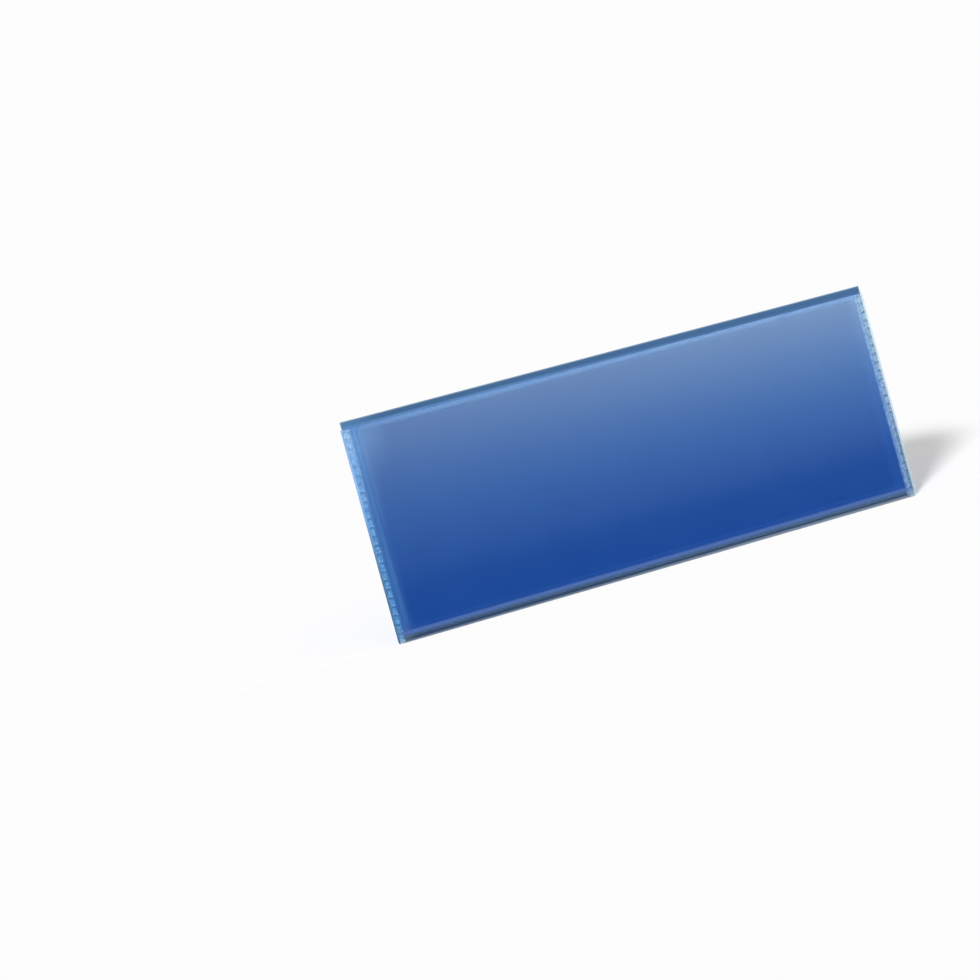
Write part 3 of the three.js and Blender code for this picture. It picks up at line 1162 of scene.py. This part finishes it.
# %% Hang the lights
def sun(name, travels, strength, spread_angle):
    """A soft distant light. A strength of 1 shows a white sheet that faces it as white."""
    data = bpy.data.lights.new(name, "SUN")
    data.energy = math.pi * strength
    data.angle = math.radians(spread_angle)
    lamp = bpy.data.objects.new(name, data)
    lamp.rotation_mode = "QUATERNION"
    lamp.rotation_quaternion = Vector(travels).to_track_quat("-Z", "Y")
    bpy.context.scene.collection.objects.link(lamp)
    return round(data.energy, 2)


main_energy = sun("main_light", travels=(0.536, 0.705, -0.365), strength=0.91, spread_angle=11)
back_energy = sun("back_light", travels=(0.35, -0.78, -0.50), strength=0.55, spread_angle=30)
print("main light", main_energy, "and back light", back_energy, "W/m2")

# %% [markdown]
# ## Sky
# The sky is white for the camera and plain grey light for all matt surfaces. A mirror sees a dark studio
# in front, where a photographer hangs black cloth to keep a blue deep, and a pale one above and behind.

# %% Set the sky
sky_light = 0.32
cloth_level = 0.02
ceiling_level = 0.45
cloth_to_ceiling = (0.15, 0.7)
cloth_to_rear = (-0.6, 0.1)

world = bpy.data.worlds.new("studio")
bpy.context.scene.world = world
world.use_nodes = True
sky = world.node_tree.nodes["Background"]
_, (_, direction_y, direction_z) = coordinates(world, "Generated")
open_part = largest(
    world, linear(world, direction_z, *cloth_to_ceiling), linear(world, direction_y, *cloth_to_rear))
mirrored = blend_numbers(world, open_part, cloth_level, ceiling_level)
ray = add_node(world, "ShaderNodeLightPath").outputs
not_seen = blend_numbers(world, ray["Is Glossy Ray"], sky_light, mirrored)
feed(world, sky.inputs["Strength"], blend_numbers(world, ray["Is Camera Ray"], not_seen, white_level))
feed(world, sky.inputs["Color"], (1, 1, 1))
print("sky light", sky_light, "and white", white_level)

# %% [markdown]
# ## Cards
# Two cards that only mirrors see stand in front of the cloth. The film shows the upper one as a soft fall
# of light from its top edge, and its left ramp shows a little of the other. A card's light grows with
# height and from one side to the other, which a lamp's can't.

# %% Stand the cards
card_y = -800 * MM
black = (0.0, 0.0, 0.0)


def stand_card(
        name, left, right, bottom, top, grows_from, foot_height, foot_light, low_light, high_light,
        dim_x, dim_share, bright_x):
    """A card that only mirrors see. It has foot_light from the height foot_height up. Above grows_from it
    gains light, first of low_light's colour and then of high_light's. It has dim_share of its light at
    dim_x, and all of it at bright_x."""
    material = new_material(name)
    _, (x, _, z) = coordinates(material)
    rise = linear(material, z, grows_from, top)
    gained = blend_colours(material, rise, low_light, high_light)
    gained = blend_colours(material, 1.0, gained, rise, mode="MULTIPLY")
    foot = blend_colours(material, linear(material, z, bottom, foot_height), black, foot_light)
    light = add_node(material, "ShaderNodeEmission")
    feed(material, light.inputs["Color"], blend_colours(material, 1.0, gained, foot, mode="ADD"))
    feed(material, light.inputs["Strength"], linear(material, x, dim_x, bright_x, dim_share, 1.0))
    show(material, light.outputs[0])
    centre = ((left + right) / 2, 0, (bottom + top) / 2)
    paper = upright_plane(name, centre, right - left, top - bottom)
    paper.location = (0, card_y, 0)
    paper.data.materials.append(material)
    for kind_of_ray in ("camera", "diffuse", "shadow", "transmission", "volume_scatter"):
        setattr(paper, f"visible_{kind_of_ray}", False)


stand_card(
    "upper_card", left=-210 * MM, right=910 * MM, bottom=-89 * MM, top=162 * MM, grows_from=-89 * MM,
    foot_height=-88 * MM, foot_light=(0.33, 0.51, 0.60), low_light=(0.0, 2.3, 4.9),
    high_light=(8.6, 9.7, 6.3), dim_x=-210 * MM, dim_share=0.40, bright_x=500 * MM)
stand_card(
    "left_card", left=-615 * MM, right=-210 * MM, bottom=-160 * MM, top=86 * MM, grows_from=-43 * MM,
    foot_height=-70 * MM, foot_light=(0.38, 0.80, 1.20), low_light=black,
    high_light=(1.7, 2.8, 2.7), dim_x=-210 * MM, dim_share=0.25, bright_x=-290 * MM)
print("cards stand", round(-card_y, 2), "m in front")

# %% [markdown]
# ## Finish
# The view transform is Standard, so that a colour shows as it is written.

# %% Set the view transform
bpy.context.scene.view_settings.view_transform = "Standard"
